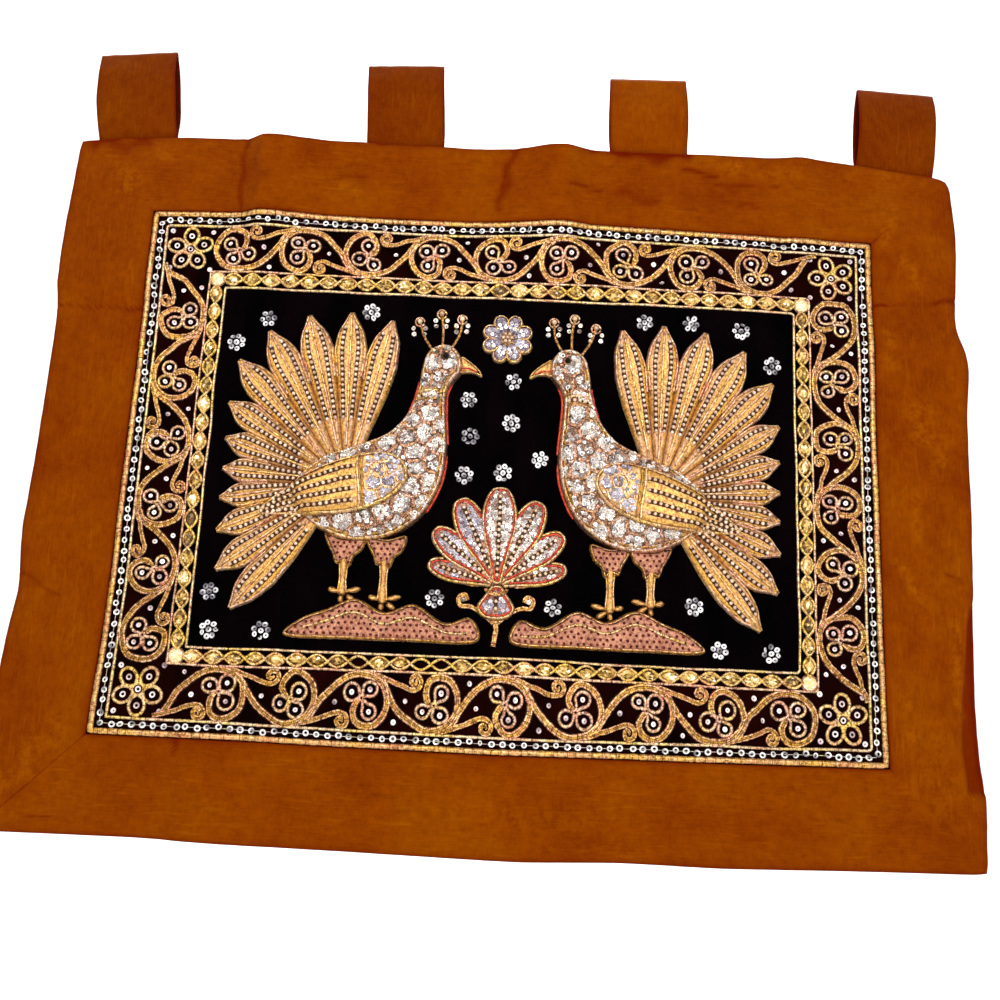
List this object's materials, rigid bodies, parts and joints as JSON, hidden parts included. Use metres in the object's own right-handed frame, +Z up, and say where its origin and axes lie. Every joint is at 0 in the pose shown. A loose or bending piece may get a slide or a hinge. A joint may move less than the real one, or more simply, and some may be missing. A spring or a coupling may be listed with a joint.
{
  "type": "sequin embroidered wall hanging",
  "caption": "Landscape velvet panel with padded sequin birds and couched cord frames, in a mitred silk border hung by cloth loops along its top edge.",
  "frame": {"origin": "on the hanging line, which runs level through the four loops along the top, at the middle of the width", "axes": "+X to the right seen from the front, +Y from the embroidered front towards the wall, +Z up"},
  "size_m": [0.598, 0.026, 0.5245],
  "materials": {
    "velvet": "black cotton velvet, deep matt pile",
    "silk": "rust-brown slubbed taffeta, soft sheen",
    "gold_cord": "twisted orange-gold metal thread",
    "pale_cord": "twisted pale gold metal thread",
    "sequins": "silver sequins in a net of gold cord",
    "lilac_sequins": "lilac-silver sequins",
    "beadwork": "rows of pearl-gold beads between gold threads",
    "plumes": "rows of lilac and gold beads between gold threads",
    "pink_cloth": "salmon-pink satin dotted with dark red beads"
  },
  "bodies": {
    "root": {"velvet_panel": "velvet", "border_top": "silk", "border_bottom": "silk", "border_left": "silk", "border_right": "silk", "tab_1": "silk", "tab_2": "silk", "tab_3": "silk", "tab_4": "silk", "edge_cord": "gold_cord", "rail_cord": "pale_cord", "band_cord_outer": "gold_cord", "band_cord_inner": "pale_cord", "bird_right_body": "sequins", "bird_right_wing": "beadwork", "bird_right_tail": "plumes", "bird_left_body": "sequins", "bird_left_wing": "beadwork", "bird_left_tail": "plumes", "bank_right": "pink_cloth", "bank_left": "pink_cloth", "bloom": "sequins", "rosette": "lilac_sequins"}
  },
  "joints": []
}
